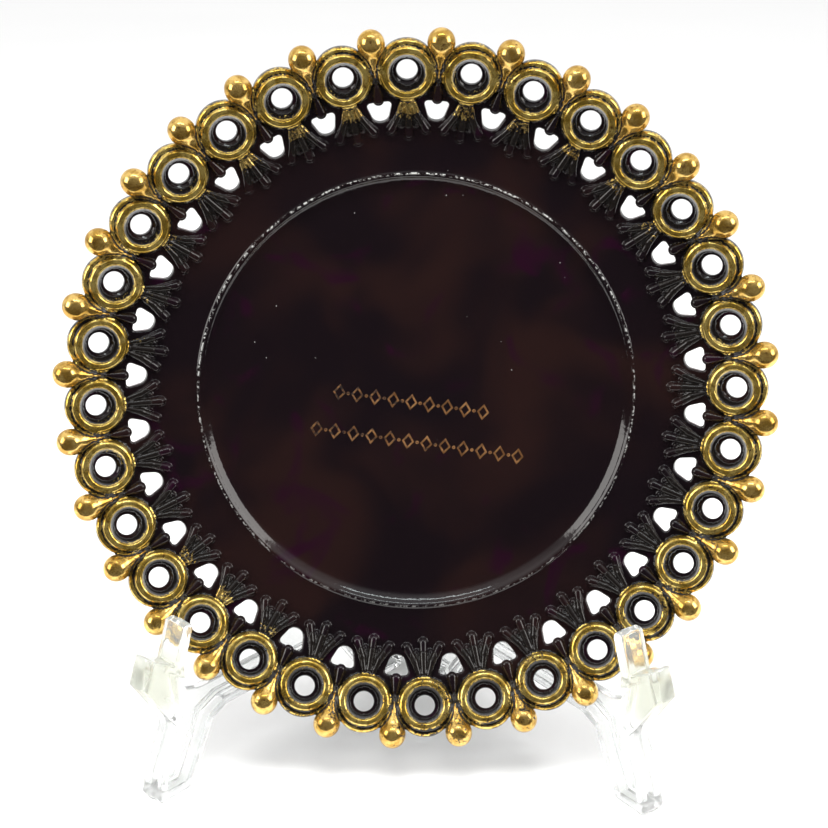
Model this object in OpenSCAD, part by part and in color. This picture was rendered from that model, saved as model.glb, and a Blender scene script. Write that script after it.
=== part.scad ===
// Souvenir plate with a pierced ring border, standing in a folding two-part clear plastic easel.
// Millimetres, +Z up. The plate faces -Y. The easel stands on Z = 0.

/* [Plate] */
// Radius of the circle through the ring centres
ring_circle_r = 90; // [74:0.5:110]
// Number of rings round the border
ring_count = 32; // [32:1:32]
// Turn of the first ring from the +X side
ring_phase = 1.6; // [0:0.05:11]
// Upward slope of the border, degrees
border_slope = 22; // [20:1:24]
// Depth of the well floor below the ring plane
well_depth = 9.2; // [8.6:0.1:11]
// Glass thickness at the well floor
well_floor_t = 3.8; // [2.5:0.1:6]
// Radius of the flat well floor
well_floor_r = 57.4; // [46:0.2:58]
// Height of the foot ring under the well
foot_ring_h = 2.5; // [1:0.1:4]

/* [Rings and drops] */
// Radius of the hole through each ring
ring_hole_r = 2.9; // [2.6:0.1:4]
// Outer radius of each ring
ring_outer_r = 7.85; // [7.4:0.05:8.2]
// Height of the raised bead on each ring above the border slope
ring_bead_h = 2.6; // [2.1:0.1:3.2]
// Radius of the ball at the end of each drop
ball_r = 3.8; // [3.2:0.1:4]
// Distance of each ball centre outward from the ring circle
ball_reach = 8.2; // [7.6:0.1:9.6]

/* [Openings and fans] */
// Centre of each opening inward from the ring circle
opening_inset = 9.5; // [9:0.1:10]
// Radius of the round part of each opening
opening_r = 2.9; // [2.2:0.1:3.2]
// Radius of the rounded end of each petal
petal_end_r = 1.3; // [0.9:0.05:1.5]

/* [Gilding and ornament] */
// Thickness of the gold layer
gilding_t = 0.15; // [0.1:0.01:0.3]
// Width of one lozenge in the ornament
lozenge_w = 3.6; // [2.4:0.1:4]
// Height of one lozenge in the ornament
lozenge_h = 4.8; // [3:0.1:6]
// Lozenges in the upper row
upper_count = 9; // [3:1:12]
// Lozenges in the lower row
lower_count = 12; // [3:1:14]
// Tilt of both rows
ornament_tilt = -8; // [-15:1:15]

/* [Easel] */
// Lean of the plate back from upright
lean = 14; // [12:1:16]
// Distance of the hinge axis behind the plate centre
hinge_back = 41.3; // [40:0.5:60]
// Sideways place of the hinge axis
hinge_x = -1; // [-6:0.5:6]
// Angle of each frame from straight ahead
toe = 39.6; // [37:0.2:42]
// Turn of the whole easel under the plate
easel_turn = -2.4; // [-3:0.1:0]
// Length of one frame from the front foot to the hinge axis
frame_len = 108; // [106:0.5:140]
// Width of the flange round each frame
flange_w = 8; // [7:0.1:9]
// Width of the hook lip
lip_w = 8.5; // [7:0.1:9]
// Thickness of flanges and ribs
rib_t = 2.6; // [2:0.1:3]
// Thickness of the web inside the flanges
web_t = 2.6; // [2:0.1:3]
// Distance of the web from the frame's inner face, outward of the middle to clear the drop beside it
web_out = 3.3; // [3.3:0.1:3.8]
// Height of the post top above the floor
post_h = 104; // [80:1:140]

/* [Hinge] */
// Radius of the hinge pin
pin_r = 1.5; // [1:0.05:2]
// Radial running clearance of the pin in the turning frame
pin_clearance = 0.05; // [0.03:0.01:0.1]
// Radial squeeze of the pin in the fixed frame
pin_squeeze = 0.02; // [0.01:0.01:0.03]
// Outer radius of the hinge knuckles
knuckle_r = 4; // [3.4:0.1:4.4]
// Height of one knuckle
knuckle_h = 13; // [10:0.5:16]
// Gap between neighbouring knuckles
knuckle_gap = 0.4; // [0.3:0.1:0.8]

/* [Hidden] */
$fn = 64;
pitch = 360 / ring_count;
half_pitch = pitch / 2;
slope_rise = tan(border_slope);
slope_run = cos(border_slope);
well_floor_h = -well_depth;
well_back_h = well_floor_h - well_floor_t;
foot_ring_low = well_back_h - foot_ring_h;
shoulder_r = ring_circle_r - 27.6;
web_outer_r = ring_circle_r + 5;
bead_r = ring_outer_r - 1.25;
funnel_top_r = ring_outer_r - 2.55;
funnel_low = -1.2;
bead_foot_h = 0.8;
// The gold on the bead ends clear of the roll and the drops
gold_edge_h = 1.5;
gold_edge_r = bead_r + 0.3
    + (ring_bead_h - gold_edge_h) / (ring_bead_h - bead_foot_h) * (ring_outer_r - bead_r - 0.3);
// The gold starts part of the way up the funnel
funnel_gold = 0.35;
funnel_gold_r = ring_hole_r + funnel_gold * (funnel_top_r - ring_hole_r);
funnel_gold_h = funnel_low + funnel_gold * (ring_bead_h - 0.9 - funnel_low);
roll_shift = 1.05;
roll_outer_r = ring_outer_r + 0.15;
ring_depth = 3.4;
roll_depth = 2.9;
petal_root_r = 0.75;
petal_top = 0.9;
petal_depth = 3;
mid_petal_len = 10.4;
side_petal_len = 9.6;
side_petal_spread = 4.3;
side_root_out = 1.7;
side_petal_turn = asin((side_petal_spread - side_root_out) / side_petal_len);
upper_pitch = lozenge_w * 1.45;
lower_pitch = lozenge_w * 1.48;
upper_place = [-1.4, -2.7];
lower_place = [0.3, -14.4];
face_gap = 0.4;
frame_near = knuckle_r + 0.7;
seat_z = 28.6;
// Sideways distance at which the rim stands on the seats, and how far it dips there between two ring edges
seat_x = 50;
rim_dip = 0.2;
rim_r = ring_circle_r + ring_outer_r;
rest_height = seat_z - rim_dip + sqrt(rim_r * rim_r - seat_x * seat_x) * cos(lean);
arch_z = 20.9;
rear_foot_len = 12;
rear_top_z = 3 * knuckle_h + 2 * knuckle_gap + 2;
knuckle_base = 2;
pin_low = knuckle_base - 1;
pin_len = 3 * knuckle_h + 2 * knuckle_gap + 2;
right_toe = toe + easel_turn;
base_back = -foot_ring_low + 0.3;
nose_reach = 1.2;
// The easel's frontmost and rearmost points, measured from the plate centre, with the origin midway between
front_reach = (frame_len + nose_reach) * cos(right_toe) - face_gap * sin(right_toe) - hinge_back;
rear_reach = hinge_back + knuckle_r;
plate_y = (front_reach - rear_reach) / 2;

// Node to build

// ---------- plate ----------

// Distance behind the ring plane at which the back of the plate stands, for a height above the floor
function base_plane_y(z) = ((z - rest_height) * sin(lean) + base_back) / cos(lean);
// Distance from the front foot at which a frame edge meets that plane
function post_edge_s(z) = frame_len - (hinge_back - base_plane_y(z)) / cos(right_toe);

module plate_place() {
    translate([0, plate_y, rest_height])
        rotate([90 - lean, 0, 0])
            children();
}

// Stands children on the sloping border at an angle and an outward distance from the ring circle
module on_border(angle, out, side = 0, up = 0) {
    rotate([0, 0, angle])
        translate([ring_circle_r, side, 0])
            rotate([0, -border_slope, 0])
                translate([out / slope_run, 0, up])
                    children();
}

module each_ring() {
    for (i = [0 : ring_count - 1])
        rotate([0, 0, ring_phase + i * pitch])
            children();
}

module dish() {
    rotate_extrude($fn = 256)
        polygon([
            [0, well_floor_h],
            [well_floor_r, well_floor_h],
            [well_floor_r + 1.6, well_floor_h + 0.4],
            [shoulder_r - 1.8, well_floor_h + 1.2],
            [shoulder_r - 0.4, well_floor_h + 2.3],
            [shoulder_r, well_floor_h + 2.6],
            [shoulder_r + 0.4, well_floor_h + 2.3],
            [shoulder_r + 4, well_floor_h + 1.9],
            [ring_circle_r - 16.5, -16.5 * slope_rise - 0.3],
            [web_outer_r, 5 * slope_rise - 0.3],
            [web_outer_r, 5 * slope_rise - 3],
            [ring_circle_r - 16.5, -16.5 * slope_rise - 3.4],
            [shoulder_r + 3, well_back_h + 0.3],
            [shoulder_r + 1, foot_ring_low],
            [shoulder_r - 3.4, foot_ring_low],
            [shoulder_r - 5, well_back_h],
            [0, well_back_h]
        ]);
}

module ring() {
    rotate_extrude()
        polygon([
            [ring_hole_r, -ring_depth],
            [ring_outer_r, -ring_depth],
            [ring_outer_r, bead_foot_h],
            [bead_r + 0.3, ring_bead_h],
            [bead_r - 0.3, ring_bead_h],
            [funnel_top_r, ring_bead_h - 0.9],
            [ring_hole_r, funnel_low]
        ]);
}

module ring_roll() {
    translate([roll_shift, 0, 0])
        rotate_extrude()
            polygon([
                [6.5, -roll_depth],
                [roll_outer_r, -roll_depth],
                [roll_outer_r, 0.2],
                [roll_outer_r - 0.6, 1.1],
                [6.5, 1.1]
            ]);
}

module drop() {
    sphere(ball_r);
    rotate([0, -90, 0])
        cylinder(h = 10.5, r1 = ball_r * 0.7, r2 = 0.8);
}

// Outline of one petal seen from above, from its root to its rounded end
module petal_outline(length) {
    polygon([[0, -petal_root_r], [0, petal_root_r], [-length, petal_end_r * 0.9], [-length, -petal_end_r * 0.9]]);
    translate([-length, 0])
        circle(r = petal_end_r);
}

module petal(length) {
    translate([0, 0, petal_top - petal_depth])
        linear_extrude(petal_depth)
            petal_outline(length);
}

module fan_places() {
    on_border(0, -7.2, 0, 0.7)
        children(0);
    for (s = [-1, 1])
        on_border(0, -7.2, s * side_root_out, 0.7)
            rotate([0, 0, -s * side_petal_turn])
                children(1);
}

module opening_cut() {
    on_border(0, -opening_inset, 0, -8)
        linear_extrude(16) {
            circle(r = opening_r);
            for (s = [-1, 1])
                translate([1.2, s * 1.6])
                    circle(r = opening_r * 0.62);
        }
}

module hole_cut() {
    on_border(0, 0, 0, -8)
        cylinder(h = 16, r = ring_hole_r);
}

module plate_glass() {
    color([0.09, 0.04, 0.07])
        plate_place() {
            difference() {
                union() {
                    dish();
                    each_ring() {
                        on_border(0, 0) {
                            ring();
                            ring_roll();
                        }
                        on_border(half_pitch, ball_reach, 0, 0.95)
                            drop();
                        fan_places() {
                            petal(mid_petal_len);
                            petal(side_petal_len);
                        }
                    }
                }
                each_ring() {
                    hole_cut();
                    rotate([0, 0, half_pitch])
                        opening_cut();
                }
            }
        }
}

// ---------- gilding ----------

module ring_layer() {
    low = [
        [funnel_gold_r, funnel_gold_h],
        [funnel_top_r, ring_bead_h - 0.9],
        [bead_r - 0.3, ring_bead_h],
        [bead_r + 0.3, ring_bead_h],
        [gold_edge_r, gold_edge_h]
    ];
    count = len(low);
    high = [for (i = [count - 1 : -1 : 0]) [low[i][0], low[i][1] + gilding_t]];
    rotate_extrude()
        polygon(concat(low, high));
}

module roll_layer() {
    sweep = 76;
    translate([roll_shift, 0, 0])
        rotate([0, 0, -sweep / 2])
            rotate_extrude(angle = sweep)
                polygon([
                    [roll_outer_r, -1],
                    [roll_outer_r, 0.2],
                    [roll_outer_r - 0.5, 0.95],
                    [roll_outer_r - 0.5, 0.95 + gilding_t],
                    [roll_outer_r + gilding_t, 0.2],
                    [roll_outer_r + gilding_t, -1]
                ]);
}

module ring_gilding() {
    color([0.83, 0.66, 0.24])
        plate_place()
            each_ring()
                on_border(0, 0) {
                    ring_layer();
                    roll_layer();
                }
}

module drop_gilding() {
    reach = ball_r + 1;
    color([0.83, 0.6, 0.22])
        plate_place()
            each_ring()
                on_border(half_pitch, ball_reach, 0, 0.95)
                    difference() {
                        sphere(ball_r + gilding_t);
                        sphere(ball_r);
                        translate([-2 * reach, -reach, -reach])
                            cube([2 * reach, 2 * reach, 2 * reach]);
                        translate([-reach, -reach, -2 * reach])
                            cube([2 * reach, 2 * reach, 2 * reach]);
                    }
}

// A worn strip of gold along the top of one petal, between two distances from its root
module petal_layer() {
    from = 3.4;
    to = 6.4;
    half_w = petal_root_r * 0.8;
    translate([0, 0, petal_top])
        linear_extrude(gilding_t)
            polygon([[-from, -half_w], [-from, half_w], [-to, half_w], [-to, -half_w]]);
}

module petal_gilding() {
    color([0.78, 0.6, 0.25])
        plate_place()
            each_ring()
                fan_places() {
                    petal_layer();
                    petal_layer();
                }
}

// ---------- ornament in the well ----------

module lozenge(w, h) {
    polygon([[-w / 2, 0], [0, -h / 2], [w / 2, 0], [0, h / 2]]);
}

module ornament_row(count, step) {
    line = 0.62;
    for (i = [0 : count - 1])
        translate([(i - (count - 1) / 2) * step, 0]) {
            difference() {
                lozenge(lozenge_w, lozenge_h);
                lozenge(lozenge_w * line, lozenge_h * line);
            }
            if (i < count - 1)
                translate([step / 2, 0])
                    circle(r = lozenge_w * 0.14);
        }
}

module ornament_place(place) {
    plate_place()
        translate([place[0], place[1], well_floor_h])
            rotate([0, 0, ornament_tilt])
                linear_extrude(gilding_t)
                    children();
}

module ornament_upper() {
    color([0.6, 0.38, 0.2])
        ornament_place(upper_place)
            ornament_row(upper_count, upper_pitch);
}

module ornament_lower() {
    color([0.6, 0.38, 0.2])
        ornament_place(lower_place)
            ornament_row(lower_count, lower_pitch);
}

// ---------- easel ----------

// Raises a side view into a slab: distance from the inner face, and thickness
module slab(start, thick) {
    translate([0, face_gap + start + thick, 0])
        rotate([90, 0, 0])
            linear_extrude(thick)
                children();
}

module side_view() {
    polygon([
        [0.8, 0],
        [2.2, 8],
        [8.4, 22],
        [1.6, 33.3],
        [-nose_reach, 37.5],
        [2, 46],
        [6, 43.6],
        [9.6, 41.4],
        [13.4, 52.2],
        [16.2, 52.2],
        [16.6, 50.6],
        [12.8, 39.5],
        [13.2, 34.5],
        [15.6, 30],
        [19.5, seat_z],
        [post_edge_s(seat_z + 4) - 4, seat_z],
        [post_edge_s(seat_z + 4), seat_z + 4],
        [post_edge_s(post_h), post_h],
        [post_edge_s(post_h) + 6, post_h],
        [frame_len - frame_near - 4, rear_top_z],
        [frame_len - frame_near, rear_top_z - 4],
        [frame_len - frame_near, 0],
        [frame_len - frame_near - rear_foot_len, 0],
        [frame_len - 26, 14],
        [frame_len - 32, arch_z],
        [28, arch_z],
        [22.4, 18.8],
        [17, 9],
        [12.2, 0]
    ]);
}

// The flange that runs round the front leg, the arch and the rear leg, on the same outline as the web
module lower_flange() {
    polygon([
        [0.8, 0],
        [2.2, 8],
        [8.4, 22],
        [11.4, 24],
        [10.8, 21],
        [4.9, 7.6],
        [3.8, rib_t],
        [10.4, rib_t],
        [14.8, 10.6],
        [20.6, 21.2],
        [27.4, arch_z + rib_t],
        [frame_len - 30.8, arch_z + rib_t],
        [frame_len - 23.6, 15.2],
        [frame_len - frame_near - rear_foot_len + 1.6, rib_t],
        [frame_len - frame_near, rib_t],
        [frame_len - frame_near, 0],
        [frame_len - frame_near - rear_foot_len, 0],
        [frame_len - 26, 14],
        [frame_len - 32, arch_z],
        [28, arch_z],
        [22.4, 18.8],
        [17, 9],
        [12.2, 0]
    ]);
}

module post_flange() {
    low = seat_z + 4;
    polygon([
        [post_edge_s(low), low],
        [post_edge_s(post_h), post_h],
        [post_edge_s(post_h) + rib_t, post_h],
        [post_edge_s(low) + rib_t, low]
    ]);
}

module nose() {
    polygon([
        [8.4, 22],
        [1.6, 33.3],
        [-nose_reach, 37.5],
        [2, 46],
        [6, 43.6],
        [9.6, 41.4],
        [10, 33],
        [11.4, 24]
    ]);
}

module lip() {
    polygon([
        [8, 40.5],
        [9.6, 41.4],
        [13.4, 52.2],
        [16.2, 52.2],
        [16.6, 50.6],
        [12.8, 39.5],
        [11, 37.5]
    ]);
}

module knuckle(i, bore) {
    low = knuckle_base + i * (knuckle_h + knuckle_gap);
    difference() {
        union() {
            translate([frame_len, 0, low])
                cylinder(h = knuckle_h, r = knuckle_r);
            translate([frame_len - frame_near - 1, face_gap, low])
                cube([frame_near + 1, knuckle_r - face_gap - 0.6, knuckle_h]);
        }
        translate([frame_len, 0, low - 1])
            cylinder(h = knuckle_h + 2, r = bore);
    }
}

// One moulded frame. X runs from the front foot to the hinge axis, Y outward from the inner face
module frame(knuckles, bore) {
    slab(web_out, web_t)
        side_view();
    slab(0, flange_w)
        lower_flange();
    slab(0, flange_w)
        post_flange();
    slab(0, flange_w)
        nose();
    slab(0, lip_w)
        lip();
    slab(0, web_out + 0.5)
        translate([frame_len - frame_near - 2, knuckle_base])
            square([2, rear_top_z - 8]);
    for (i = knuckles)
        knuckle(i, bore);
}

module easel_place() {
    translate([hinge_x, plate_y + hinge_back, 0])
        rotate([0, 0, easel_turn])
            children();
}

module frame_place() {
    rotate([0, 0, 90 - toe])
        translate([-frame_len, 0, 0])
            children();
}

module easel_left_frame() {
    color([0.85, 0.9, 0.88, 0.5])
        easel_place()
            frame_place()
                frame([0, 2], pin_r - pin_squeeze);
}

module easel_right_frame() {
    color([0.85, 0.9, 0.88, 0.5])
        easel_place()
            mirror([1, 0, 0])
                frame_place()
                    frame([1], pin_r + pin_clearance);
}

module hinge_pin() {
    color([0.8, 0.85, 0.84])
        easel_place()
            translate([0, 0, pin_low])
                cylinder(h = pin_len, r = pin_r);
}

plate_glass();
ring_gilding();
drop_gilding();
petal_gilding();
ornament_upper();
ornament_lower();
easel_left_frame();
easel_right_frame();
hinge_pin();
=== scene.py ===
"""Souvenir plate in its folding easel: the detailed meshes, materials, lights and camera.

Lengths in the shape code are millimetres. They become metres when a mesh is made.
"""
import math

import bpy
import numpy as np
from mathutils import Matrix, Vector


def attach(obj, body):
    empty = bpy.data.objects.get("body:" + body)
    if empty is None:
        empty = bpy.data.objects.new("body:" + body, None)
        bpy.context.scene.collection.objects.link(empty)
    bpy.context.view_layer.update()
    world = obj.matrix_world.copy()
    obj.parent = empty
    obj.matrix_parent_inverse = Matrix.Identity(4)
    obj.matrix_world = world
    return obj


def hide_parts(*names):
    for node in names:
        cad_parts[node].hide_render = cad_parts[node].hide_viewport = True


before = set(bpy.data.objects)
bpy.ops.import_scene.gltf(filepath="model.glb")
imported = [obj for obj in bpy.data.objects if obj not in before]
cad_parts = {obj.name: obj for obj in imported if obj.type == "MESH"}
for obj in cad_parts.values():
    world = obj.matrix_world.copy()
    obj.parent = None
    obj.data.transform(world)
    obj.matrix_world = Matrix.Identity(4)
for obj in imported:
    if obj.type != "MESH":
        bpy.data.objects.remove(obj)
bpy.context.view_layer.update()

MM = 0.001

# ---- sizes shared with the CAD model ----
RING_CIRCLE = 90.0
RING_COUNT = 32
RING_PHASE = math.radians(1.6)
SLOPE = math.radians(22.0)
WELL_FLOOR = -9.2
WELL_BACK = -13.0
FOOT_LOW = -15.5
SEAM_R = 62.4
RING_HOLE = 2.9
BALL_R = 3.8
BALL_OUT = 98.2
LEAN = math.radians(14.0)
SEAT_Z = 28.6
REST_HEIGHT = SEAT_Z - 0.2 + math.sqrt((RING_CIRCLE + 7.85) ** 2 - 50.0 ** 2) * math.cos(LEAN)
HINGE_X = -1.0
HINGE_BACK = 41.3
TOE = math.radians(39.6)
EASEL_TURN = math.radians(-2.4)
FRAME_LEN = 108.0
FACE_GAP = 0.4
NOSE_REACH = 1.2
RIGHT_TOE = TOE + EASEL_TURN
FRONT_REACH = (FRAME_LEN + NOSE_REACH) * math.cos(RIGHT_TOE) - FACE_GAP * math.sin(RIGHT_TOE) - HINGE_BACK
PLATE_Y = (FRONT_REACH - HINGE_BACK - 4.0) / 2

PITCH = 2 * math.pi / RING_COUNT
HALF_PITCH = PITCH / 2
GRID = 0.42
SECTOR_STEPS = 44
rng = np.random.default_rng(20)
WAVES = [(rng.uniform(-0.11, 0.11), rng.uniform(-0.11, 0.11), rng.uniform(0, 6.28), rng.uniform(0.02, 0.05))
         for _ in range(7)]


# ---------------------------------------------------------------- shape maths

def smooth_min(a, b, k):
    h = np.clip(0.5 + 0.5 * (b - a) / k, 0, 1)
    return b + (a - b) * h - k * h * (1 - h)


def smooth_max(a, b, k):
    return -smooth_min(-a, -b, k)


def smooth_step(a, b, x):
    t = np.clip((x - a) / (b - a), 0, 1)
    return t * t * (3 - 2 * t)


def tapered_rod(p, a, b, ra, rb):
    """Distance to a rod with round ends whose radius goes from ra to rb."""
    ax, ay, az = a
    dx, dy, dz = b[0] - ax, b[1] - ay, b[2] - az
    length2 = dx * dx + dy * dy + dz * dz
    qx, qy, qz = p[0] - ax, p[1] - ay, p[2] - az
    t = np.clip((qx * dx + qy * dy + qz * dz) / length2, 0, 1)
    gap = np.sqrt((qx - t * dx) ** 2 + (qy - t * dy) ** 2 + (qz - t * dz) ** 2)
    return gap - (ra + (rb - ra) * t)


def curve_through(x, xs, ys):
    """Smooth curve through the given points that never overshoots them, flat at both ends."""
    xs = np.array(xs, float)
    ys = np.array(ys, float)
    rise = np.diff(ys) / np.diff(xs)
    before, after = rise[:-1], rise[1:]
    same_way = before * after > 0
    slope = np.zeros(len(xs))
    slope[1:-1] = np.where(same_way, 2 * before * after / np.where(same_way, before + after, 1), 0)
    i = np.clip(np.searchsorted(xs, x) - 1, 0, len(xs) - 2)
    w = xs[i + 1] - xs[i]
    t = np.clip((x - xs[i]) / w, 0, 1)
    t2, t3 = t * t, t * t * t
    return ((2 * t3 - 3 * t2 + 1) * ys[i] + (t3 - 2 * t2 + t) * w * slope[i]
            + (3 * t2 - 2 * t3) * ys[i + 1] + (t3 - t2) * w * slope[i + 1])


FRONT_R = [0, 57.4, 58.8, 60.8, 61.7, 62.4, 63.2, 66.5, 71.5, 75.5, 79.0, 90.0, 100.0]
FRONT_H = [-9.2, -9.2, -8.95, -7.75, -6.95, -6.6, -6.9, -7.25, -6.95, -6.1, -4.85, -0.4, 3.6]
BACK_R = [0, 57.6, 58.6, 59.4, 62.8, 63.8, 66.5, 73.5, 82.0, 92.0, 100.0]
BACK_H = [-13.0, -13.0, -15.0, -15.45, -15.45, -14.6, -12.9, -10.1, -6.5, -2.4, 0.9]


def plate_distance(x, y, h):
    """Rough signed distance to the plate in a sector whose ring is at y = 0. Symmetric about y = 0."""
    y = np.abs(y)
    r = np.hypot(x, y)
    # the same point seen from the drop, which stands half a pitch away
    c, s = math.cos(HALF_PITCH), math.sin(HALF_PITCH)
    dx = c * x + s * y
    dy = np.abs(-s * x + c * y)
    # along and off the sloping border
    cs, sn = math.cos(SLOPE), math.sin(SLOPE)
    u = (x - RING_CIRCLE) * cs + h * sn
    w = -(x - RING_CIRCLE) * sn + h * cs
    du = (dx - RING_CIRCLE) * cs + h * sn
    dw = -(dx - RING_CIRCLE) * sn + h * cs

    # dish
    front = curve_through(r, FRONT_R, FRONT_H)
    back = curve_through(r, BACK_R, BACK_H)
    body = smooth_max((h - front) * 0.93, (back - h) * 0.93, 0.8)
    body = smooth_max(body, r - 92.2, 1.2)

    # petals: a straight one, two that curl out along the openings, and two thin ribs between
    petals = tapered_rod((u, y, w), (-7.2, 0, 0.8), (-18.0, 0, 0.55), 0.76, 1.3)
    side_a = tapered_rod((u, y, w), (-7.2, 1.1, 0.8), (-12.4, 2.6, 0.7), 0.68, 0.95)
    side_b = tapered_rod((u, y, w), (-12.4, 2.6, 0.7), (-16.6, 4.8, 0.5), 0.95, 1.3)
    petals = np.minimum(petals, smooth_min(side_a, side_b, 0.4))
    rib = tapered_rod((u, y, w), (-8.0, 0.55, 0.3), (-15.4, 2.05, 0.05), 0.5, 0.62)
    petals = smooth_min(petals, rib, 0.35)
    solid = smooth_min(body, petals, 0.55)

    # ring: body, outer roll, raised bead, then the funnel and the hole
    rho = np.hypot(u, y)
    disc = smooth_max(rho - 7.72, smooth_max(w - 1.05, -2.6 - w, 0.7), 0.9)
    roll_rho = np.hypot(u - 1.05, y)
    tall = np.clip(w, -1.3, 0.0)
    roll = np.hypot(roll_rho - 6.85, (w - tall)) - 1.16
    bead = np.hypot((rho - 6.15) * 0.92, w - 1.25) - 1.36
    ring = smooth_min(disc, roll, 0.35)
    ring = smooth_min(ring, bead, 0.3)
    groove = np.hypot(rho - 7.75, w - 1.75) - 0.4
    ring = smooth_max(ring, -groove, 0.4)
    solid = smooth_min(solid, ring, 0.45)

    # drop: ball, neck and tail, two thin side ribs, and the small foot at the opening
    p = (du, dy, dw)
    ball_u = (BALL_OUT - RING_CIRCLE) / cs
    ball = np.sqrt((du - ball_u) ** 2 + dy ** 2 + (dw - 0.95) ** 2) - (BALL_R - 0.08)
    neck = tapered_rod(p, (ball_u - 1.0, 0, 0.95), (1.2, 0, 0.9), 3.4, 1.75)
    tail = tapered_rod(p, (2.6, 0, 0.9), (-2.2, 0, 0.85), 1.4, 0.8)
    drop = smooth_min(smooth_min(ball, neck, 1.0), tail, 0.6)
    side = tapered_rod(p, (4.2, 2.3, 0.5), (-2.6, 1.2, 0.6), 0.5, 0.45)
    drop = smooth_min(drop, side, 0.3)
    foot = tapered_rod(p, (-3.6, 0, 0.9), (-7.4, 0, 0.45), 0.85, 1.6)
    # opening between the fans
    flank = (dy - 3.6 - (du + 9.2) * 0.34) * 0.946
    opening = smooth_max(flank, np.abs(du + 11.5) - 2.95, 1.8)
    cove = opening - 0.6 + np.clip((0.6 - dw) * 0.6, 0, 0.6)
    solid = smooth_max(solid, -np.minimum(opening, cove), 0.55)
    solid = smooth_min(solid, drop, 0.5)
    solid = smooth_min(solid, foot, 0.3)

    # funnel and hole through the ring
    funnel = np.sqrt(rho ** 2 + (w - 3.55) ** 2) - 5.5
    solid = smooth_max(solid, -funnel, 0.22)
    hole = rho - RING_HOLE
    solid = smooth_max(solid, -hole, 0.3)
    return solid


def surface_nets(values, points):
    """Quads of the zero surface on a curved grid whose second direction wraps into the next sector.

    values: (I, J + 1, K) samples, points: the same with a last axis of 3. Returns points and quads, with
    each quad corner as (cell number, sector offset).
    """
    inside = values < 0
    ni, nj, nk = values.shape
    ci, cj, ck = ni - 1, nj - 1, nk - 1
    count = np.zeros((ci, cj, ck), int)
    for a in (0, 1):
        for b in (0, 1):
            for c in (0, 1):
                count += inside[a:a + ci, b:b + cj, c:c + ck]
    active = (count > 0) & (count < 8)
    total = np.zeros((ci, cj, ck, 3))
    hits = np.zeros((ci, cj, ck))
    for axis in range(3):
        for p in (0, 1):
            for q in (0, 1):
                lo = [0, 0, 0]
                others = [m for m in range(3) if m != axis]
                lo[others[0]] = p
                lo[others[1]] = q
                hi = list(lo)
                hi[axis] = 1
                s0 = tuple(slice(o, o + n) for o, n in zip(lo, (ci, cj, ck)))
                s1 = tuple(slice(o, o + n) for o, n in zip(hi, (ci, cj, ck)))
                v0, v1 = values[s0], values[s1]
                cross = (v0 < 0) != (v1 < 0)
                t = np.where(cross, v0 / np.where(v0 == v1, 1, v0 - v1), 0)[..., None]
                total += np.where(cross[..., None], points[s0] + t * (points[s1] - points[s0]), 0)
                hits += cross
    number = np.full((ci, cj, ck), -1)
    number[active] = np.arange(active.sum())
    spots = total[active] / hits[active][:, None]
    quads = []

    def corner(i, j, k):
        wrap = (j < 0).astype(int)
        return number[i, np.where(j < 0, j + cj, j), k], -wrap

    def add(i, j, k, steps, flip):
        ids = []
        offs = []
        for di, dj, dk in steps:
            n, o = corner(i + di, j + dj, k + dk)
            ids.append(n)
            offs.append(o)
        ids = np.array(ids).T
        offs = np.array(offs).T
        ids[flip] = ids[flip][:, ::-1]
        offs[flip] = offs[flip][:, ::-1]
        quads.append(np.stack([ids, offs], axis=-1))

    cross = inside[:-1] != inside[1:]
    i, j, k = np.nonzero(cross[:, :-1, 1:-1])
    k = k + 1
    add(i, j, k, [(0, -1, -1), (0, 0, -1), (0, 0, 0), (0, -1, 0)], ~inside[i, j, k])
    cross = inside[:, :-1] != inside[:, 1:]
    i, j, k = np.nonzero(cross[1:-1, :, 1:-1])
    i, k = i + 1, k + 1
    add(i, j, k, [(-1, 0, -1), (-1, 0, 0), (0, 0, 0), (0, 0, -1)], ~inside[i, j, k])
    cross = inside[:, :, :-1] != inside[:, :, 1:]
    i, j, k = np.nonzero(cross[1:-1, :-1])
    i = i + 1
    add(i, j, k, [(-1, -1, 0), (0, -1, 0), (0, 0, 0), (-1, 0, 0)], ~inside[i, j, k])
    return spots, np.concatenate(quads), number


def onto_surface(points, distance, rounds=3):
    """Pulls points onto the zero surface and returns them with their outward directions."""
    e = 0.02
    for _ in range(rounds):
        d = distance(*points.T)
        g = np.stack([(distance(*(points + step).T) - distance(*(points - step).T)) / (2 * e)
                      for step in np.eye(3) * e], axis=1)
        size = np.maximum((g * g).sum(1, keepdims=True), 0.09)
        points = points - np.clip(d[:, None] / size, -0.3, 0.3) * g
    return points, g / np.sqrt(np.maximum((g * g).sum(1, keepdims=True), 1e-9))


def turned(points, angle):
    c, s = math.cos(angle), math.sin(angle)
    x, y, h = points.T
    return np.stack([c * x - s * y, s * x + c * y, h], axis=1)


def border_coordinates(x, y, h, at_drop=False):
    """Outward, sideways and upward distances along the sloping border, from a ring centre."""
    if at_drop:
        c, s = math.cos(HALF_PITCH), math.sin(HALF_PITCH)
        y = np.abs(y)
        x, y = c * x + s * y, -s * x + c * y
    cs, sn = math.cos(SLOPE), math.sin(SLOPE)
    return (x - RING_CIRCLE) * cs + h * sn, y, -(x - RING_CIRCLE) * sn + h * cs


# ---------------------------------------------------------------- meshes

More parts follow.
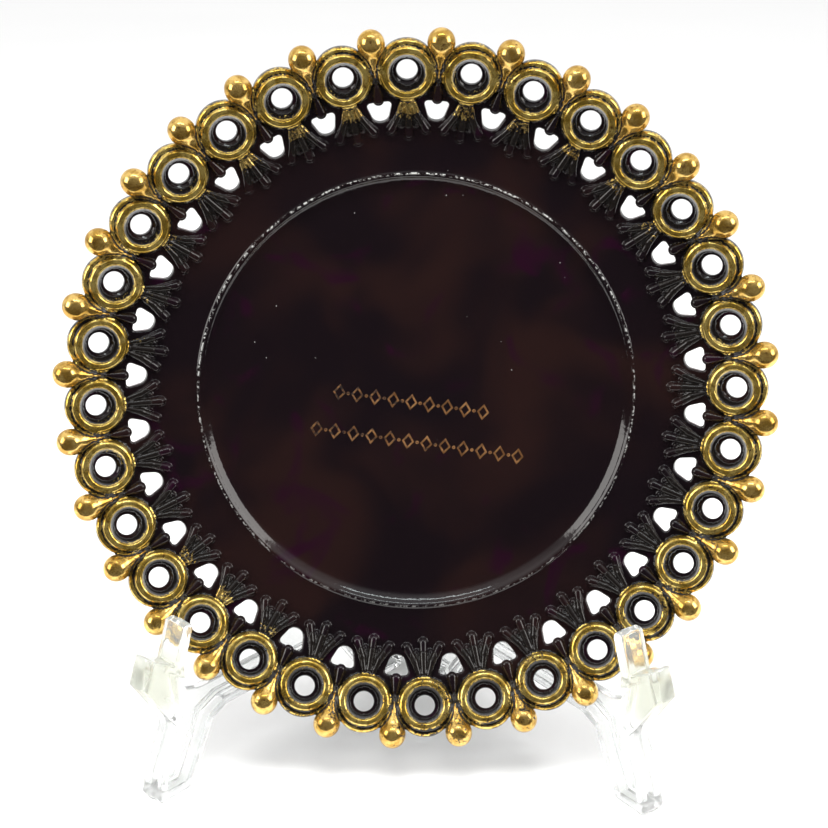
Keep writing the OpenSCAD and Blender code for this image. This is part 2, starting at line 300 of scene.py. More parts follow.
def make_mesh(name, points, faces, layers=None, flip=False):
    """Makes an object from millimetre points and a list of face arrays, with optional point values."""
    mesh = bpy.data.meshes.new(name)
    if flip:
        faces = [f[:, ::-1] for f in faces]
    polys = [row for f in faces for row in f.tolist()]
    mesh.from_pydata((np.asarray(points) * MM).tolist(), [], polys)
    mesh.validate()
    mesh.polygons.foreach_set("use_smooth", np.ones(len(mesh.polygons), bool))
    for key, values in (layers or {}).items():
        layer = mesh.attributes.new(key, "FLOAT", "POINT")
        layer.data.foreach_set("value", np.asarray(values, np.float32))
    mesh.update()
    obj = bpy.data.objects.new(name, mesh)
    bpy.context.scene.collection.objects.link(obj)
    return obj


def plate_to_world(points):
    a = math.pi / 2 - LEAN
    c, s = math.cos(a), math.sin(a)
    x, y, z = np.asarray(points).T
    return np.stack([x, c * y - s * z + PLATE_Y, s * y + c * z + REST_HEIGHT], axis=1)


def sector_mesh():
    # wide steps where the plate is plain, finer ones at the seam and over the border
    radii = np.concatenate([np.arange(56.0, 61.3, 0.75), np.arange(61.4, 63.5, 0.3),
                            np.arange(63.8, 71.9, 0.9), np.arange(72.0, 104.2, GRID)])
    angles = -HALF_PITCH + PITCH * np.arange(SECTOR_STEPS + 1) / SECTOR_STEPS
    heights = np.arange(-16.55, 9.4, GRID)
    r, a, h = np.meshgrid(radii, angles, heights, indexing="ij")
    points = np.stack([r * np.cos(a), r * np.sin(a), h], axis=-1)
    values = plate_distance(points[..., 0], points[..., 1], points[..., 2])
    spots, quads, number = surface_nets(values, points)
    spots, out = onto_surface(spots, plate_distance)
    front = np.array([column[np.nonzero(column >= 0)[0].max()] for column in number[0]])
    back = np.array([column[np.nonzero(column >= 0)[0].min()] for column in number[0]])
    return spots, out, quads, front, back


def border_mesh():
    """The whole border from one sector, with the loops of points where it meets the well."""
    spots, out, quads, front, back = sector_mesh()
    n = len(spots)
    points = np.concatenate([turned(spots, RING_PHASE + k * PITCH) for k in range(RING_COUNT)])
    normals = np.concatenate([turned(out, RING_PHASE + k * PITCH) for k in range(RING_COUNT)])
    faces = np.concatenate([((k + quads[..., 1]) % RING_COUNT) * n + quads[..., 0]
                            for k in range(RING_COUNT)])
    front = np.concatenate([k * n + front for k in range(RING_COUNT)])
    back = np.concatenate([k * n + back for k in range(RING_COUNT)])
    return spots, out, points, normals, faces, front, back


def well_wave(x, y):
    """Gentle unevenness of the pressed floor, in millimetres, with a faint dimple in the middle."""
    r = np.hypot(x, y)
    wave = np.zeros_like(r)
    for fx, fy, phase, size in WAVES:
        wave += size * np.sin(fx * x + fy * y + phase)
    dimple = -0.05 * np.exp(-(r / 7.0) ** 2) + 0.035 * np.exp(-((r - 12.0) / 4.0) ** 2)
    return (wave + dimple) * smooth_step(56.0, 46.0, r)


def fill_well(points, loop, height, down, wavy):
    """Closes the well inside a loop with shrinking rows of points. Returns new points and faces."""
    new_points = []
    quads = []
    tris = []
    row = loop
    count = len(loop)
    total = len(points)
    ring_r = np.hypot(points[loop, 0], points[loop, 1]).mean()
    start = np.arctan2(points[loop, 1], points[loop, 0])
    angles = np.unwrap(start)
    while ring_r > 1.6:
        gap = 2 * math.pi * ring_r / count
        halve = count > 44 and gap < 0.62 and ring_r < 54
        step = min(max(gap, 0.55), 1.5)
        ring_r -= step
        angles_new = angles[::2] if halve else angles
        fresh = np.arange(len(angles_new)) + total
        total += len(angles_new)
        x = ring_r * np.cos(angles_new)
        y = ring_r * np.sin(angles_new)
        h = np.full(len(angles_new), height)
        if wavy:
            h = h + well_wave(x, y)
        new_points.append(np.stack([x, y, h], axis=1))
        if halve:
            a, b, c = row[0::2], row[1::2], np.roll(row, -2)[0::2]
            p, q = fresh, np.roll(fresh, -1)
            tris += [np.stack([a, b, p], 1), np.stack([b, q, p], 1), np.stack([b, c, q], 1)]
        else:
            quads.append(np.stack([row, np.roll(row, -1), np.roll(fresh, -1), fresh], 1))
        row, angles, count = fresh, angles_new, len(angles_new)
    h = height + (float(well_wave(np.zeros(1), np.zeros(1))[0]) if wavy else 0)
    new_points.append(np.array([[0, 0, h]]))
    tris.append(np.stack([row, np.roll(row, -1), np.full(count, total)], 1))
    quads = np.concatenate(quads)
    tris = np.concatenate(tris)
    if down:
        quads, tris = quads[:, ::-1], tris[:, ::-1]
    return np.concatenate(new_points), quads, tris


def shell(points, normals, faces, keep, lift, sink):
    """A closed thin layer over the kept faces, from sink below the surface to lift above it."""
    chosen = faces[keep]
    used, flat = np.unique(chosen, return_inverse=True)
    chosen = flat.reshape(chosen.shape)
    n = len(used)
    top = points[used] + normals[used] * lift
    low = points[used] - normals[used] * sink
    a = chosen.ravel()
    b = np.roll(chosen, -1, axis=1).ravel()
    there = a.astype(np.int64) * n + b
    again = b.astype(np.int64) * n + a
    edge = ~np.isin(there, again)
    walls = np.stack([b[edge], a[edge], a[edge] + n, b[edge] + n], axis=1)
    return np.concatenate([top, low]), [chosen, chosen[:, ::-1] + n, walls], used


# ---------------------------------------------------------------- easel shape

def base_plane_y(z):
    base_back = 0.3 - FOOT_LOW
    return ((z - REST_HEIGHT) * math.sin(LEAN) + base_back) / math.cos(LEAN)


def post_edge(z):
    """Distance from the front foot to the post's front edge at height z."""
    return FRAME_LEN - (HINGE_BACK - base_plane_y(z)) / math.cos(RIGHT_TOE)


ARCH_Z = 20.9
POST_H = 104.0
KNUCKLE_R = 4.0
KNUCKLE_H = 13.0
KNUCKLE_BASE = 2.0
KNUCKLE_STEP = 13.4
HINGE_BORE = 1.55
RIB_HALF = 1.3
FLANGE_HALF = 4.0
WEB_HALF = 1.3
LIP_HALF = 4.25
REAR = FRAME_LEN - 4.7
REAR_TOP = 41.8
FRAME_MID = FACE_GAP + 4.0
WEB_MID = FACE_GAP + 4.6
SIDE_VIEW = [
    (0.8, 0), (2.2, 8), (8.4, 22), (1.6, 33.3), (-NOSE_REACH, 37.5), (2, 46), (6, 43.6), (9.6, 41.4),
    (13.4, 52.2), (16.2, 52.2), (16.6, 50.6), (12.8, 39.5), (13.2, 34.5), (15.6, 30), (19.5, SEAT_Z),
    (post_edge(SEAT_Z + 4) - 4, SEAT_Z), (post_edge(SEAT_Z + 4), SEAT_Z + 4), (post_edge(POST_H), POST_H),
    (post_edge(POST_H) + 6, POST_H), (REAR - 4, REAR_TOP), (REAR, REAR_TOP - 4), (REAR, 0), (REAR - 12, 0),
    (FRAME_LEN - 26, 14), (FRAME_LEN - 32, ARCH_Z), (28, ARCH_Z), (22.4, 18.8), (17, 9), (12.2, 0)]
LEG_RIB = [(2.2, 1.3), (3.6, 8), (9.6, 22)]
ARCH_RIB = [(2.2, 1.3), (11.6, 1.3), (16, 9.4), (21.4, 19.6), (27.6, ARCH_Z + 1.3),
            (FRAME_LEN - 32, ARCH_Z + 1.3), (FRAME_LEN - 25, 14.5), (REAR - 11, 1.3), (REAR - 1.3, 1.3)]
POST_RIB = [(post_edge(SEAT_Z + 8) + 1.4, SEAT_Z + 8), (post_edge(POST_H - 1.5) + 1.4, POST_H - 1.5)]
NOSE = [(8.4, 22), (1.6, 33.3), (-NOSE_REACH, 37.5), (2, 46), (6, 43.6), (9.6, 41.4), (10, 33),
        (11.4, 24)]
LIP = [(9, 38), (9.6, 41.4), (13.4, 52.2), (16.2, 52.2), (16.6, 50.6), (12.8, 39.5), (12.9, 36)]


def edge_gap(s, z, a, b):
    ds, dz = b[0] - a[0], b[1] - a[1]
    t = np.clip(((s - a[0]) * ds + (z - a[1]) * dz) / (ds * ds + dz * dz), 0, 1)
    return np.hypot(s - a[0] - t * ds, z - a[1] - t * dz)


def outline_distance(s, z, outline):
    """Signed distance to a closed outline, negative inside."""
    near = np.full(np.shape(s), 1e9)
    inside = np.zeros(np.shape(s), bool)
    for a, b in zip(outline, outline[1:] + outline[:1]):
        near = np.minimum(near, edge_gap(s, z, a, b))
        if a[1] != b[1]:
            crossing = a[0] + (z - a[1]) * (b[0] - a[0]) / (b[1] - a[1])
            inside ^= ((a[1] > z) != (b[1] > z)) & (s < crossing)
    return np.where(inside, -near, near)


def path_distance(s, z, path, half_width):
    return np.minimum.reduce([edge_gap(s, z, a, b) for a, b in zip(path, path[1:])]) - half_width


def box_distance(p, lo, hi):
    return np.maximum.reduce([np.maximum(l - v, v - h) for v, l, h in zip(p, lo, hi)])


def frame_distance(s, n, z, knuckles):
    """Signed distance to one moulded frame: s from the front foot, n outward from the hinge plane."""
    off = np.abs(n - FRAME_MID)
    solid = smooth_max(outline_distance(s, z, SIDE_VIEW), np.abs(n - WEB_MID) - WEB_HALF, 0.5)
    for path in (LEG_RIB, ARCH_RIB, POST_RIB):
        rib = smooth_max(path_distance(s, z, path, RIB_HALF), off - FLANGE_HALF, 0.7)
        solid = smooth_min(solid, rib, 0.5)
    solid = smooth_min(solid, smooth_max(outline_distance(s, z, NOSE), off - FLANGE_HALF, 0.9), 0.5)
    lip_off = np.abs(n - FACE_GAP - LIP_HALF) - LIP_HALF
    solid = smooth_min(solid, smooth_max(outline_distance(s, z, LIP), lip_off, 0.7), 0.4)
    strip = box_distance((s, n, z), (REAR - 2, FACE_GAP, 2.1), (REAR - 0.1, FACE_GAP + 3, REAR_TOP - 6))
    solid = smooth_min(solid, strip, 0.3)
    for i in knuckles:
        low = KNUCKLE_BASE + i * KNUCKLE_STEP
        middle = low + KNUCKLE_H / 2
        tube = smooth_max(np.hypot(s - FRAME_LEN, n) - KNUCKLE_R, np.abs(z - middle) - KNUCKLE_H / 2, 0.5)
        arm = box_distance((s, n, z), (REAR - 1, FACE_GAP, low + 0.05),
                           (FRAME_LEN, KNUCKLE_R, low + KNUCKLE_H - 0.05))
        solid = smooth_min(solid, smooth_min(tube, arm, 0.2), 0.2)
    return smooth_max(solid, HINGE_BORE - np.hypot(s - FRAME_LEN, n), 0.3)


def easel_frame(name, knuckles, mirrored):
    step = 0.6
    s, n, z = np.meshgrid(np.arange(-2.35, 113.4, step), np.arange(-4.65, 10.0, step),
                          np.arange(-0.75, 105.6, step), indexing="ij")
    values = frame_distance(s, n, z, knuckles)
    spots, quads, _ = surface_nets(values, np.stack([s, n, z], axis=-1))
    spots, _ = onto_surface(spots, lambda a, b, c: frame_distance(a, b, c, knuckles))
    spots[:, 2] = np.maximum(spots[:, 2], 0)
    away, side, up = spots[:, 0] - FRAME_LEN, spots[:, 1], spots[:, 2]
    a = math.pi / 2 - TOE
    x = math.cos(a) * away - math.sin(a) * side
    y = math.sin(a) * away + math.cos(a) * side
    if mirrored:
        x = -x
    c, k = math.cos(EASEL_TURN), math.sin(EASEL_TURN)
    points = np.stack([HINGE_X + c * x - k * y, PLATE_Y + HINGE_BACK + k * x + c * y, up], axis=1)
    # the hook is moulded rough, the rest is clear
    frosted = smooth_step(15.0, 10.5, spots[:, 0]) * smooth_step(26.0, 31.0, up)
    frosted *= smooth_step(48.0, 42.0, up)
    return make_mesh(name, points, [quads[..., 0]], {"frost": frosted}, flip=mirrored)


# ---------------------------------------------------------------- pieces

def lathe(name, profile, sides, centre):
    """A closed turned piece from (radius, height) rows, the first and last on the axis."""
    points = []
    angles = np.arange(sides) * 2 * math.pi / sides
    for radius, height in profile[1:-1]:
        points.append(np.stack([radius * np.cos(angles) + centre[0], radius * np.sin(angles) + centre[1],
                                np.full(sides, height)], axis=1))
    points.append(np.array([[centre[0], centre[1], profile[0][1]], [centre[0], centre[1], profile[-1][1]]]))
    rows = len(profile) - 2
    here = np.arange(sides)
    after = np.roll(here, -1)
    quads = np.concatenate([np.stack([here, after, after + sides, here + sides], 1) + k * sides
                            for k in range(rows - 1)])
    bottom = np.stack([after, here, np.full(sides, rows * sides)], 1)
    top = np.stack([here, after, np.full(sides, rows * sides + 1)], 1) + [[(rows - 1) * sides] * 2 + [0]]
    return make_mesh(name, np.concatenate(points), [quads, bottom, top])


def outline_prism(outer, inner, low, high):
    """A flat closed frame between two outlines of equal length, or a plain plate if inner is one point."""
    n = len(outer)
    rows = [(outer, low), (outer, high - 0.03), (outer + (inner - outer) * 0.1, high),
            (inner + (outer - inner) * 0.1, high), (inner, high - 0.03), (inner, low)]
    points = np.concatenate([np.column_stack([row, np.full(n, h)]) for row, h in rows])
    here = np.arange(n)
    after = np.roll(here, -1)
    count = len(rows)
    quads = []
    for k in range(count):
        this_row, next_row = k * n, (k + 1) % count * n
        quads.append(np.stack([here + this_row, after + this_row, after + next_row, here + next_row], 1))
    return points, np.concatenate(quads)


def ornament(name, place, count, step):
    """A row of stamped lozenges with small rings between, slightly uneven like a worn stamp."""
    points = []
    quads = []
    total = 0
    height, width = 4.8, 3.6
    low = WELL_FLOOR - 0.06
    high = WELL_FLOOR + 0.13
    t = np.arange(24) / 24 * 4
    corner = np.array([(1, 0), (0, 1), (-1, 0), (0, -1), (1, 0)])
    side = t.astype(int)
    diamond = corner[side] + (t % 1)[:, None] * (corner[side + 1] - corner[side])
    circle = np.column_stack([np.cos(t * math.pi / 2), np.sin(t * math.pi / 2)])
    for i in range(count):
        x = (i - (count - 1) / 2) * step
        shapes = [(diamond * (width / 2, height / 2), 0.62, x)]
        if i < count - 1:
            shapes.append((circle * width * 0.14, 0.3, x + step / 2))
        for outline, hollow, at in shapes:
            rough = 1 + rng.uniform(-0.02, 0.0, (len(outline), 1))
            outer = outline * rough + (at, 0)
            inner = outline * hollow * (1 + rng.uniform(-0.03, 0.03, (len(outline), 1))) + (at, 0)
            p, q = outline_prism(outer, inner, 0, high - low)
            points.append(p)
            quads.append(q + total)
            total += len(p)
    points = np.concatenate(points)
    a = math.radians(-8)
    x = place[0] + math.cos(a) * points[:, 0] - math.sin(a) * points[:, 1]
    y = place[1] + math.sin(a) * points[:, 0] + math.cos(a) * points[:, 1]
    h = low + points[:, 2] + well_wave(x, y)
    half = (count - 1) / 2 * step
    return make_mesh(name, plate_to_world(np.column_stack([x, y, h])), [np.concatenate(quads)],
                     {"along": (points[:, 0] + half) / (2 * half)})


# ---------------------------------------------------------------- materials

class Shader:
    """A Principled material whose pattern nodes work in the object's own coordinates."""

    def __init__(self, name):
        self.material = bpy.data.materials.new(name)
        self.material.use_nodes = True
        self.tree = self.material.node_tree
        self.main = self.tree.nodes["Principled BSDF"]
        self.place = self.tree.nodes.new("ShaderNodeTexCoord").outputs["Object"]

    def link(self, source, target):
        if isinstance(source, (int, float)):
            target.default_value = source
        elif isinstance(source, tuple):
            target.default_value = source
        else:
            self.tree.links.new(source, target)

    def set(self, **values):
        for key, value in values.items():
            self.link(value, self.main.inputs[key.replace("_", " ")])

    def attribute(self, name):
        node = self.tree.nodes.new("ShaderNodeAttribute")
        node.attribute_name = name
        return node.outputs["Fac"]

    def noise(self, scale, detail=3.0, rough=0.5, twist=0.0):
        node = self.tree.nodes.new("ShaderNodeTexNoise")
        node.inputs["Scale"].default_value = scale
        node.inputs["Detail"].default_value = detail
        node.inputs["Roughness"].default_value = rough
        node.inputs["Distortion"].default_value = twist
        self.link(self.place, node.inputs["Vector"])
        return node.outputs["Fac"]

    def cells(self, scale):
        node = self.tree.nodes.new("ShaderNodeTexVoronoi")
        node.inputs["Scale"].default_value = scale
        self.link(self.place, node.inputs["Vector"])
        return node.outputs["Distance"]

    def span(self, value, low, high, to_low=0.0, to_high=1.0):
        node = self.tree.nodes.new("ShaderNodeMapRange")
        node.interpolation_type = "SMOOTHSTEP"
        self.link(value, node.inputs["Value"])
        node.inputs["From Min"].default_value = low
        node.inputs["From Max"].default_value = high
        node.inputs["To Min"].default_value = to_low
        node.inputs["To Max"].default_value = to_high
        return node.outputs["Result"]

    def calc(self, kind, a, b):
        node = self.tree.nodes.new("ShaderNodeMath")
        node.operation = kind
        self.link(a, node.inputs[0])
        self.link(b, node.inputs[1])
        return node.outputs[0]

    def mix(self, amount, a, b):
        node = self.tree.nodes.new("ShaderNodeMix")
        node.data_type = "RGBA"
        self.link(amount, node.inputs["Factor"])
        for value, socket in ((a, node.inputs[6]), (b, node.inputs[7])):
            self.link(value, socket)
        return node.outputs[2]

    def bump(self, height, strength, distance):
        node = self.tree.nodes.new("ShaderNodeBump")
        node.inputs["Strength"].default_value = strength
        node.inputs["Distance"].default_value = distance
        self.link(height, node.inputs["Height"])
        self.link(node.outputs["Normal"], self.main.inputs["Normal"])


BLACK_GLASS = (0.0045, 0.0026, 0.0036, 1.0)
BROWN_GLASS = (0.011, 0.0048, 0.0045, 1.0)
AMETHYST = (0.011, 0.0014, 0.0075, 1.0)
BACKLIT_THIN_GLASS = (0.16, 0.018, 0.03, 1.0)


def glass_material():
    m = Shader("pressed_black_glass")
    soft = m.span(m.noise(24.0, 2.0, 0.5, 0.6), 0.4, 0.66)
    purple = m.span(m.noise(46.0, 2.0, 0.5, 1.4), 0.58, 0.72)
    colour = m.mix(soft, BLACK_GLASS, BROWN_GLASS)
    colour = m.mix(m.calc("MULTIPLY", purple, 0.8), colour, AMETHYST)
    # painted light through thin glass: at the thin walls of the openings the glass's red-purple tint is
    # painted on as if lit from behind
    colour = m.mix(m.attribute("thin"), colour, BACKLIT_THIN_GLASS)
    # pale specks along the seam: partly real chips, partly painted glints, made brighter towards the top in
    # build_plate
    chips_and_glints = m.calc("MULTIPLY", m.attribute("seam"), m.span(m.noise(900.0, 3.0, 0.7), 0.5, 0.58))
    dust = m.span(m.cells(210.0), 0.045, 0.025)
    sparse = m.span(m.noise(60.0, 1.0), 0.5, 0.62)
    specks = m.calc("MAXIMUM", chips_and_glints, m.calc("MULTIPLY", m.calc("MULTIPLY", dust, sparse), 0.35))
    colour = m.mix(specks, colour, (0.6, 0.6, 0.58, 1.0))
    m.set(Base_Color=colour, IOR=1.52, Specular_IOR_Level=0.45)
    m.set(Roughness=m.span(m.noise(160.0, 4.0, 0.6), 0.35, 0.75, 0.05, 0.11))
    m.bump(m.noise(420.0, 3.0, 0.55), 0.12, 0.0004)
    return m.material


def gilt_material(name, gold, bright, wear):
    """Fired gold worn through to the black glass in specks. A higher wear shows more black."""
    m = Shader(name)
    fine = m.noise(1500.0, 4.0, 0.65)
    broad = m.noise(150.0, 3.0, 0.6)
    both = m.calc("ADD", m.calc("MULTIPLY", fine, 0.6), m.calc("MULTIPLY", broad, 0.4))
    kept = m.calc("ADD", both, m.calc("MULTIPLY", m.attribute("gild"), 0.5))
    gilded = m.span(kept, 0.74 + wear, 0.78 + wear)
    tone = m.mix(m.span(m.noise(300.0, 3.0, 0.6), 0.4, 0.62), gold, bright)
    tone = m.mix(m.span(m.noise(800.0, 3.0, 0.7), 0.58, 0.68), tone, (0.26, 0.13, 0.03, 1.0))
    m.set(Base_Color=m.mix(gilded, (0.006, 0.0045, 0.004, 1.0), tone), IOR=1.5)
    m.set(Metallic=m.calc("MULTIPLY", gilded, 0.9))
    m.set(Roughness=m.span(fine, 0.3, 0.7, 0.1, 0.26))
    m.bump(m.calc("ADD", m.calc("MULTIPLY", gilded, 0.25), m.noise(260.0, 3.0, 0.5)), 0.22, 0.00012)
    return m.material


def ornament_material():
    m = Shader("stamped_copper_gold")
    worn = m.calc("ADD", m.noise(900.0, 4.0, 0.7), m.calc("MULTIPLY", m.attribute("along"), 0.16))
    kept = m.span(worn, 0.44, 0.6)
    tone = m.mix(m.span(m.noise(420.0, 3.0), 0.4, 0.65), (0.19, 0.085, 0.03, 1.0), (0.4, 0.2, 0.08, 1.0))
    m.set(Base_Color=m.mix(kept, (0.012, 0.006, 0.005, 1.0), tone))
    m.set(Metallic=m.calc("MULTIPLY", kept, 0.7), Roughness=0.42)
    m.bump(m.noise(1200.0, 3.0, 0.7), 0.3, 0.00015)
    return m.material


def plastic_material(name, tint, rough):
    m = Shader(name)
    frost = m.attribute("frost")
    haze = m.noise(90.0, 3.0, 0.6)
    m.set(Base_Color=m.mix(frost, tint, (0.74, 0.76, 0.66, 1.0)), IOR=1.49, Transmission_Weight=0.88)
    clear = m.span(haze, 0.45, 0.7, rough, rough + 0.05)
    m.set(Roughness=m.calc("ADD", clear, m.calc("MULTIPLY", frost, 0.22)))
    m.bump(m.noise(55.0, 2.0, 0.5), 0.12, 0.0012)
    return m.material


# ---------------------------------------------------------------- the plate's pieces

def value_layers(spots, out):
    """Masks on one sector's points: gold on rings, drops and petals, thin edges painted red as light
    shining through, and the worn seam whose pale chips are also painted glints.
    """
    x, y, h = spots.T
    u, v, w = border_coordinates(x, y, h)
    du, dv, dw = border_coordinates(x, y, h, at_drop=True)
    cs, sn = math.cos(SLOPE), math.sin(SLOPE)
    face_up = -out[:, 0] * sn + out[:, 2] * cs
    rho = np.hypot(u, v)
    roll_rho = np.hypot(u - 1.05, v)
    r = np.hypot(x, y)
    above = smooth_step(-2.4, -0.6, w)
    ring = smooth_step(8.35, 7.7, np.minimum(rho, roll_rho)) * above * smooth_step(-0.5, 0.0, face_up)
    ring *= smooth_step(3.9, 4.4, rho) * (0.36 + 0.64 * smooth_step(4.9, 5.5, rho))
    groove = smooth_step(0.6, 0.15, np.abs(rho - 7.7)) * smooth_step(-2.0, 1.0, u)
    ring *= 1 - 0.55 * groove
    ball_u = (BALL_OUT - RING_CIRCLE) / cs
    ball = np.sqrt((du - ball_u) ** 2 + dv ** 2 + (dw - 0.95) ** 2)
    drop = smooth_step(4.6, 4.0, ball) * smooth_step(-1.4, 0.4, dw)
    drop *= smooth_step(ball_u - 4.6, ball_u - 1.4, du)
    tail = smooth_step(3.6, 2.6, np.abs(dv)) * smooth_step(0.4, 1.4, dw) * smooth_step(-3.0, 1.0, du) * 0.9
    drop = np.maximum(drop, tail * smooth_step(7.6, 8.1, rho))
    petal = smooth_step(0.35, 0.9, w) * smooth_step(-16.5, -9.5, u) * smooth_step(-7.6, -8.2, u)
    petal *= smooth_step(4.2, 3.2, np.abs(v)) * 0.7
    opening = np.hypot((du + 9.6) * 0.9, dv)
    # where light would shine through the thin glass behind the openings; the shader paints this red
    thin = smooth_step(4.3, 3.3, opening) * smooth_step(-0.6, -2.2, dw) * 0.5
    seam = smooth_step(0.32, 0.1, np.abs(r - SEAM_R)) * smooth_step(-8.0, -7.2, h)
    return ring, drop, petal, thin, seam


def build_plate():
    """The glass body, and the three gold layers that lie on it."""
    spots, out, points, normals, faces, front, back = border_mesh()
    ring, drop, petal, thin, seam = [np.tile(v, RING_COUNT) for v in value_layers(spots, out)]
    # the gilding is most worn low down, and the seam's pale chips are painted brighter at the top, as
    # painted glints where light would catch them
    angle = RING_PHASE + np.repeat(np.arange(RING_COUNT), len(spots)) * PITCH
    uneven = np.repeat(rng.uniform(-0.06, 0.06, RING_COUNT), len(spots))
    ring *= 0.84 + 0.12 * np.cos(angle - 2.1) + uneven
    drop *= 0.86 + 0.1 * np.cos(angle - 2.1) + uneven
    near_top = np.clip(np.cos(angle - 1.6), 0, 1)
    low_left = smooth_step(0.5, 0.1, np.abs(angle - 3.9))
    petal *= 0.45 + 0.5 * near_top + 0.45 * low_left
    # painted glints: the seam's pale chips get brighter towards the top
    seam *= 0.6 + 0.4 * np.sin(angle)
    front_points, front_quads, front_tris = fill_well(points, front, WELL_FLOOR, False, True)
    both = np.concatenate([points, front_points])
    back_points, back_quads, back_tris = fill_well(both, back, WELL_BACK, True, False)
    both = np.concatenate([both, back_points])
    extra = np.zeros(len(both) - len(points))
    glass = make_mesh("plate_body", plate_to_world(both),
                      [faces, front_quads, front_tris, back_quads, back_tris],
                      {"thin": np.concatenate([thin, extra]), "seam": np.concatenate([seam, extra])})
    layers = []
    for name, mask in (("gold_rings", ring), ("gold_drops", drop), ("gold_petals", petal)):
        keep = mask[faces].max(axis=1) > 0.04
        if name == "gold_drops":
            keep &= ring[faces].max(axis=1) <= 0.04
        if name == "gold_petals":
            keep &= np.maximum(ring, drop)[faces].max(axis=1) <= 0.04
        shell_points, shell_faces, used = shell(points, normals, faces, keep, 0.035, 0.05)
        layers.append(make_mesh(name, plate_to_world(shell_points), shell_faces,
                                {"gild": np.tile(mask[used], 2)}))
    return glass, *layers


def dress(obj, material, body, node):
    obj.data.materials.append(material)
    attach(obj, body)
    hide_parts(node)


glass, gold_rings, gold_drops, gold_petals = build_plate()
dress(glass, glass_material(), "plate", "plate_glass")
RING_GOLD = gilt_material("ring_gold", (0.5, 0.32, 0.055, 1.0), (0.84, 0.62, 0.19, 1.0), 0.02)
DROP_GOLD = gilt_material("drop_gold", (0.5, 0.29, 0.055, 1.0), (0.82, 0.55, 0.17, 1.0), 0.02)
PETAL_GOLD = gilt_material("petal_gold", (0.5, 0.32, 0.08, 1.0), (0.62, 0.45, 0.15, 1.0), 0.06)
dress(gold_rings, RING_GOLD, "plate", "ring_gilding")
dress(gold_drops, DROP_GOLD, "plate", "drop_gilding")
dress(gold_petals, PETAL_GOLD, "plate", "petal_gilding")
STAMP = ornament_material()
LOZENGE = 3.6
upper_row = ornament("stamp_upper", (-1.4, -2.7), 9, LOZENGE * 1.45)
dress(upper_row, STAMP, "plate", "ornament_upper")
lower_row = ornament("stamp_lower", (0.3, -14.4), 12, LOZENGE * 1.48)
dress(lower_row, STAMP, "plate", "ornament_lower")
CLEAR = plastic_material("clear_plastic", (0.965, 0.98, 0.975, 1.0), 0.015)
left = easel_frame("easel_left", [0, 2], False)
right = easel_frame("easel_right", [1], True)
dress(left, CLEAR, "easel_left", "easel_left_frame")
dress(right, CLEAR, "easel_right", "easel_right_frame")
PIN_PROFILE = [(0, 1.02), (1.1, 1.02), (1.42, 1.25), (1.49, 1.6), (1.49, 42.2), (1.42, 42.55),
               (1.1, 42.78), (0, 42.78)]
pin = lathe("pin", PIN_PROFILE, 48, (HINGE_X, PLATE_Y + HINGE_BACK))
PIN_PLASTIC = plastic_material("pin_plastic", (0.9, 0.93, 0.92, 1.0), 0.06)
dress(pin, PIN_PLASTIC, "easel_left", "hinge_pin")


# ---------------------------------------------------------------- floor, light and camera

def floor_piece(name, y_low, y_high, half_width, material, mirrored):
    # just under the feet, so that the two surfaces don't share a plane
    z = -0.00015
    corners = [(-half_width, y_low, z), (half_width, y_low, z),
               (half_width, y_high, z), (-half_width, y_high, z)]
    obj = make_mesh(name, np.array(corners) / MM, [np.array([[0, 1, 2, 3]])])
    obj.data.materials.append(material)
    obj.visible_glossy = mirrored
    return obj


def floor_material():
    m = Shader("white_card")
    m.set(Base_Color=m.mix(m.noise(3.0, 2.0), (0.86, 0.86, 0.86, 1.0), (0.9, 0.9, 0.9, 1.0)), Roughness=0.7)
    m.set(Specular_IOR_Level=0.2, Emission_Color=(1.0, 1.0, 1.0, 1.0), Emission_Strength=0.05)
    return m.material


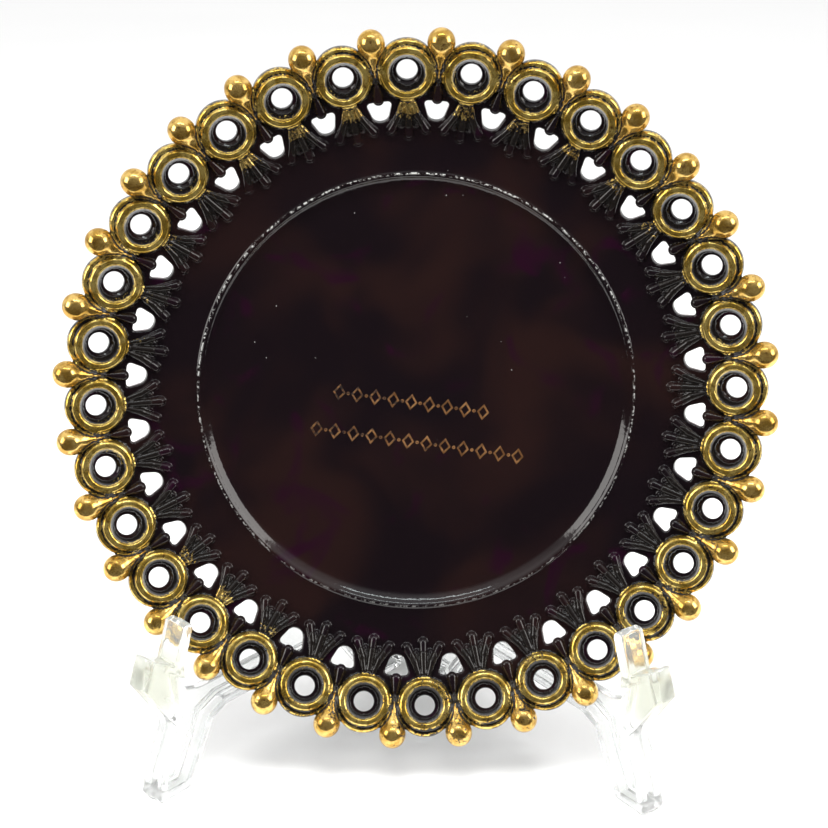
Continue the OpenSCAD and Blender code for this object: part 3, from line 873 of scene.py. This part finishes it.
def room_light():
    """White all round, but dark for reflections in front, where the room behind the camera is."""
    world = bpy.data.worlds.new("room")
    bpy.context.scene.world = world
    world.use_nodes = True
    tree = world.node_tree
    back = tree.nodes["Background"]
    place = tree.nodes.new("ShaderNodeTexCoord").outputs["Generated"]
    parts = tree.nodes.new("ShaderNodeSeparateXYZ")
    tree.links.new(place, parts.inputs[0])
    height = tree.nodes.new("ShaderNodeMath")
    height.operation = "MULTIPLY_ADD"
    tree.links.new(parts.outputs["Z"], height.inputs[0])
    height.inputs[1].default_value = 0.9
    tree.links.new(parts.outputs["Y"], height.inputs[2])
    front = tree.nodes.new("ShaderNodeMapRange")
    front.interpolation_type = "SMOOTHSTEP"
    tree.links.new(height.outputs[0], front.inputs["Value"])
    front.inputs["From Min"].default_value = -0.3
    front.inputs["From Max"].default_value = 0.8
    front.inputs["To Min"].default_value = 0.03
    front.inputs["To Max"].default_value = 1.0
    path = tree.nodes.new("ShaderNodeLightPath")
    outside = tree.nodes.new("ShaderNodeMath")
    outside.operation = "LESS_THAN"
    tree.links.new(path.outputs["Transmission Depth"], outside.inputs[0])
    outside.inputs[1].default_value = 0.5
    mirrored = tree.nodes.new("ShaderNodeMath")
    mirrored.operation = "MULTIPLY"
    tree.links.new(path.outputs["Is Glossy Ray"], mirrored.inputs[0])
    tree.links.new(outside.outputs[0], mirrored.inputs[1])
    glossy = tree.nodes.new("ShaderNodeMix")
    tree.links.new(mirrored.outputs[0], glossy.inputs[0])
    glossy.inputs[2].default_value = 1.0
    tree.links.new(front.outputs["Result"], glossy.inputs[3])
    tree.links.new(glossy.outputs[0], back.inputs["Strength"])
    back.inputs["Color"].default_value = (1.0, 1.0, 1.0, 1.0)


def soft_light(name, place, target, size, power, colour, mirrored=True):
    data = bpy.data.lights.new(name, "AREA")
    data.shape = "RECTANGLE"
    data.size, data.size_y = size
    data.energy = power
    data.color = colour
    obj = bpy.data.objects.new(name, data)
    obj.location = place
    obj.visible_glossy = mirrored
    obj.rotation_euler = (Vector(target) - Vector(place)).to_track_quat("-Z", "Y").to_euler()
    bpy.context.scene.collection.objects.link(obj)


CARD = floor_material()
floor_piece("floor_back", -0.075, 4.0, 4.0, CARD, True)
floor_piece("floor_front", -4.0, -0.075, 4.0, CARD, False)
bpy.context.scene.view_settings.view_transform = "Standard"
room_light()
soft_light("top_light", (0.05, -0.12, 0.75), (0, 0, 0.1), (0.6, 0.4), 6.0, (1.0, 0.99, 0.97), False)
soft_light("strip_light", (0.0, -0.2, 0.75), (0, 0, 0.1), (0.5, 0.035), 0.7, (0.9, 1.0, 1.0))
soft_light("left_light", (-0.75, -0.35, 0.45), (0, 0, 0.1), (0.4, 0.5), 3.0, (1.0, 0.98, 0.95))
soft_light("right_light", (0.75, -0.3, 0.5), (0, 0, 0.1), (0.4, 0.5), 3.0, (1.0, 0.98, 0.95))

camera = bpy.data.objects.new("camera", bpy.data.cameras.new("camera"))
bpy.context.scene.collection.objects.link(camera)
camera.data.lens = 69.07
camera.data.sensor_width = 36.0
camera.data.clip_start = 0.01
camera.location = Vector((-0.6, PLATE_Y - 417.1, REST_HEIGHT + 162.9)) * MM
camera.rotation_euler = (math.radians(90 - 21.95), 0, 0)
bpy.context.scene.camera = camera
